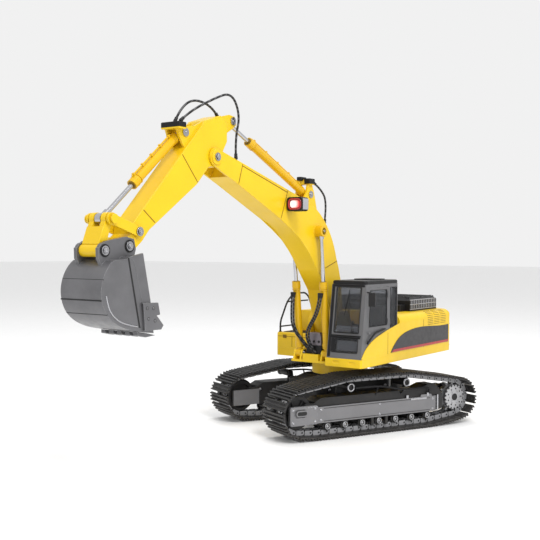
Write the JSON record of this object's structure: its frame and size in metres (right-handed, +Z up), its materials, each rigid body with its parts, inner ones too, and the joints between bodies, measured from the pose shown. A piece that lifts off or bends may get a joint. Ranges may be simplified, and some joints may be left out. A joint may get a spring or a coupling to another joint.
{
  "type": "rc excavator",
  "caption": "Radio-controlled tracked excavator model with a slewing house, grey cab, lifting boom, stick and bucket moved by cylinders.",
  "frame": {"origin": "on the floor under the middle of the machine's bounding box, as it stands in the rest pose", "axes": "+X from the tail towards the bucket, along the boom; +Y towards the cab side; +Z up. The tracks stand turned 25 degrees clockwise from the house, seen from above"},
  "size_m": [0.6032, 0.2743, 0.3592],
  "materials": {
    "body_yellow": "warm yellow satin paint",
    "cylinder_yellow": "deeper yellow satin paint",
    "cab_grey": "grey metallic paint",
    "black_paint": "black satin paint",
    "panel_dark": "dark grey panel",
    "bucket_grey": "mid grey metallic paint",
    "glass": "clear pane",
    "track_steel": "dark oiled steel",
    "frame_black": "black paint over steel",
    "silver": "plain machined aluminium",
    "pin_steel": "bright turned steel",
    "rod_chrome": "polished rod",
    "hose_rubber": "black rubber hose",
    "black_plastic": "black plastic",
    "lamp_plastic": "black lamp body with a pale lens"
  },
  "bodies": {
    "undercarriage": {"car_body": "frame_black", "swing_bearing": "frame_black", "track_frame_left": "frame_black", "track_frame_right": "frame_black", "track_guards": "silver", "final_drives": "frame_black", "track_links_left": "track_steel", "track_links_right": "track_steel", "track_pins": "pin_steel"},
    "house": {"deck": "body_yellow", "body_shell": "body_yellow", "toolbox": "body_yellow", "counterweight": "body_yellow", "side_panels": "panel_dark", "hood_box": "black_paint", "cab_shell": "cab_grey", "cab_roof": "black_paint", "cab_glass": "glass", "cab_interior": "black_plastic", "handrails": "black_plastic", "mirror": "black_plastic", "battery_pack": "black_plastic", "control_board": "black_plastic", "slew_motor": "silver", "deck_pins": "pin_steel", "swing_hoses": "hose_rubber"},
    "door": {"cab_door": "cab_grey", "door_glass": "glass"},
    "boom": {"boom": "body_yellow", "boom_pins": "pin_steel", "boom_lamp": "lamp_plastic", "boom_hose": "hose_rubber"},
    "boom_barrels": {"boom_cylinder_barrels": "cylinder_yellow"},
    "boom_rods": {"boom_cylinder_rods": "rod_chrome"},
    "stick": {"stick": "body_yellow", "stick_pins": "pin_steel", "stick_hose": "hose_rubber", "arm_hose": "hose_rubber"},
    "stick_barrel": {"stick_cylinder_barrel": "cylinder_yellow"},
    "stick_rod": {"stick_cylinder_rod": "rod_chrome"},
    "bucket_barrel": {"bucket_cylinder_barrel": "cylinder_yellow"},
    "bucket_rod": {"bucket_cylinder_rod": "rod_chrome"},
    "rocker": {"rocker_arms": "body_yellow"},
    "link": {"bucket_link": "body_yellow"},
    "bucket": {"bucket": "bucket_grey", "bucket_pins": "pin_steel", "bucket_cutters": "bucket_grey"},
    "sprocket_left": {"sprocket_left": "silver"},
    "sprocket_right": {"sprocket_right": "silver"},
    "idler_left": {"idler_left": "frame_black"},
    "idler_right": {"idler_right": "frame_black"},
    "carriers_front": {"carrier_rollers_front": "frame_black"},
    "carriers_rear": {"carrier_rollers_rear": "frame_black"},
    "rollers_1": {"lower_rollers_1": "frame_black"},
    "rollers_2": {"lower_rollers_2": "frame_black"},
    "rollers_3": {"lower_rollers_3": "frame_black"},
    "rollers_4": {"lower_rollers_4": "frame_black"},
    "rollers_5": {"lower_rollers_5": "frame_black"},
    "rollers_6": {"lower_rollers_6": "frame_black"},
    "rollers_7": {"lower_rollers_7": "frame_black"}
  },
  "joints": [
    {"name": "house_slew", "type": "hinge", "parent": "undercarriage", "child": "house", "pos_m": [-0.1166, -0.00175, 0.07], "axis": [0, 0, 1], "continuous": true},
    {"name": "boom_lift", "type": "hinge", "parent": "house", "child": "boom", "pos_m": [-0.0926, -0.00175, 0.104], "axis": [0, -1, 0], "range_deg": [-25, 5]},
    {"name": "boom_barrel_swing", "type": "hinge", "parent": "house", "child": "boom_barrels", "pos_m": [-0.0566, -0.00175, 0.087], "axis": [0, -1, 0], "range_deg": [-24.12, 5.06], "deforming": ["swing_hoses"]},
    {"name": "boom_rod_pin", "type": "hinge", "parent": "boom", "child": "boom_rods", "pos_m": [-0.0406, -0.00175, 0.228], "axis": [0, -1, 0], "range_deg": [-0.54, 1.48]},
    {"name": "stick_swing", "type": "hinge", "parent": "boom", "child": "stick", "pos_m": [0.1409, -0.00175, 0.2952], "axis": [0, -1, 0], "range_deg": [-25, 5], "deforming": ["arm_hose"]},
    {"name": "stick_barrel_swing", "type": "hinge", "parent": "boom", "child": "stick_barrel", "pos_m": [-0.0358, -0.00175, 0.2694], "axis": [0, -1, 0], "range_deg": [-0.45, 1.04]},
    {"name": "stick_rod_pin", "type": "hinge", "parent": "stick", "child": "stick_rod", "pos_m": [0.1086, -0.00175, 0.3337], "axis": [0, -1, 0], "range_deg": [-5.45, 26.04]},
    {"name": "bucket_curl", "type": "hinge", "parent": "stick", "child": "bucket", "pos_m": [0.2602, -0.00175, 0.2086], "axis": [0, -1, 0], "range_deg": [-10, 45]},
    {"name": "rocker_swing", "type": "hinge", "parent": "stick", "child": "rocker", "pos_m": [0.2462, -0.00175, 0.2212], "axis": [0, -1, 0], "range_deg": [-8.3, 36.3]},
    {"name": "link_swing", "type": "hinge", "parent": "bucket", "child": "link", "pos_m": [0.2886, -0.00175, 0.2047], "axis": [0, -1, 0], "range_deg": [-29.1, 6.7]},
    {"name": "bucket_barrel_swing", "type": "hinge", "parent": "stick", "child": "bucket_barrel", "pos_m": [0.1804, -0.00175, 0.3146], "axis": [0, -1, 0], "range_deg": [-1.03, 3.58]},
    {"name": "bucket_rod_pin", "type": "hinge", "parent": "rocker", "child": "bucket_rod", "pos_m": [0.2784, -0.00175, 0.2313], "axis": [0, -1, 0], "range_deg": [-33.02, 7.57]},
    {"name": "cab_door_hinge", "type": "hinge", "parent": "house", "child": "door", "pos_m": [-0.1002, 0.07325, 0.145], "axis": [0, 0, 1], "range_deg": [0, 100]},
    {"name": "sprocket_left_spin", "type": "hinge", "parent": "undercarriage", "child": "sprocket_left", "pos_m": [-0.19414, 0.10646, 0.0304], "axis": [0.4226, 0.9063, 0], "continuous": true},
    {"name": "idler_left_spin", "type": "hinge", "parent": "undercarriage", "child": "idler_left", "pos_m": [0.00652, 0.01289, 0.0298], "axis": [0.4226, 0.9063, 0], "continuous": true},
    {"name": "sprocket_right_spin", "type": "hinge", "parent": "undercarriage", "child": "sprocket_right", "pos_m": [-0.24933, -0.01191, 0.0304], "axis": [0.4226, 0.9063, 0], "continuous": true},
    {"name": "idler_right_spin", "type": "hinge", "parent": "undercarriage", "child": "idler_right", "pos_m": [-0.04867, -0.10548, 0.0298], "axis": [0.4226, 0.9063, 0], "continuous": true},
    {"name": "carriers_front_spin", "type": "hinge", "parent": "undercarriage", "child": "carriers_front", "pos_m": [-0.08243, -0.01768, 0.0532], "axis": [0.4226, 0.9063, 0], "continuous": true},
    {"name": "carriers_rear_spin", "type": "hinge", "parent": "undercarriage", "child": "carriers_rear", "pos_m": [-0.15394, 0.01566, 0.0534], "axis": [0.4226, 0.9063, 0], "continuous": true},
    {"name": "rollers_1_spin", "type": "hinge", "parent": "undercarriage", "child": "rollers_1", "pos_m": [-0.05452, -0.0307, 0.0123], "axis": [0.4226, 0.9063, 0], "continuous": true},
    {"name": "rollers_2_spin", "type": "hinge", "parent": "undercarriage", "child": "rollers_2", "pos_m": [-0.07582, -0.02077, 0.0123], "axis": [0.4226, 0.9063, 0], "continuous": true},
    {"name": "rollers_3_spin", "type": "hinge", "parent": "undercarriage", "child": "rollers_3", "pos_m": [-0.09711, -0.01084, 0.0123], "axis": [0.4226, 0.9063, 0], "continuous": true},
    {"name": "rollers_4_spin", "type": "hinge", "parent": "undercarriage", "child": "rollers_4", "pos_m": [-0.11841, -0.0009, 0.0123], "axis": [0.4226, 0.9063, 0], "continuous": true},
    {"name": "rollers_5_spin", "type": "hinge", "parent": "undercarriage", "child": "rollers_5", "pos_m": [-0.13971, 0.00903, 0.0123], "axis": [0.4226, 0.9063, 0], "continuous": true},
    {"name": "rollers_6_spin", "type": "hinge", "parent": "undercarriage", "child": "rollers_6", "pos_m": [-0.16101, 0.01896, 0.0123], "axis": [0.4226, 0.9063, 0], "continuous": true},
    {"name": "rollers_7_spin", "type": "hinge", "parent": "undercarriage", "child": "rollers_7", "pos_m": [-0.18231, 0.02889, 0.0123], "axis": [0.4226, 0.9063, 0], "continuous": true}
  ],
  "couplings": [
    {"joint": "boom_barrel_swing", "follows": "boom_lift", "ratio": 0.953},
    {"joint": "boom_rod_pin", "follows": "boom_lift", "ratio": -0.047},
    {"joint": "stick_barrel_swing", "follows": "stick_swing", "ratio": -0.0295},
    {"joint": "stick_rod_pin", "follows": "stick_swing", "ratio": -1.0295},
    {"joint": "rocker_swing", "follows": "bucket_curl", "ratio": 0.8},
    {"joint": "link_swing", "follows": "bucket_curl", "ratio": -0.64},
    {"joint": "bucket_barrel_swing", "follows": "bucket_curl", "ratio": 0.073},
    {"joint": "bucket_rod_pin", "follows": "bucket_curl", "ratio": -0.727},
    {"joint": "idler_left_spin", "follows": "sprocket_left_spin", "ratio": 0.89401},
    {"joint": "idler_right_spin", "follows": "sprocket_right_spin", "ratio": 0.89401},
    {"joint": "carriers_front_spin", "follows": "sprocket_left_spin", "ratio": -2.425},
    {"joint": "carriers_rear_spin", "follows": "sprocket_left_spin", "ratio": -2.425},
    {"joint": "rollers_1_spin", "follows": "sprocket_left_spin", "ratio": 5.8788},
    {"joint": "rollers_2_spin", "follows": "sprocket_left_spin", "ratio": 5.8788},
    {"joint": "rollers_3_spin", "follows": "sprocket_left_spin", "ratio": 5.8788},
    {"joint": "rollers_4_spin", "follows": "sprocket_left_spin", "ratio": 5.8788},
    {"joint": "rollers_5_spin", "follows": "sprocket_left_spin", "ratio": 5.8788},
    {"joint": "rollers_6_spin", "follows": "sprocket_left_spin", "ratio": 5.8788},
    {"joint": "rollers_7_spin", "follows": "sprocket_left_spin", "ratio": 5.8788}
  ]
}
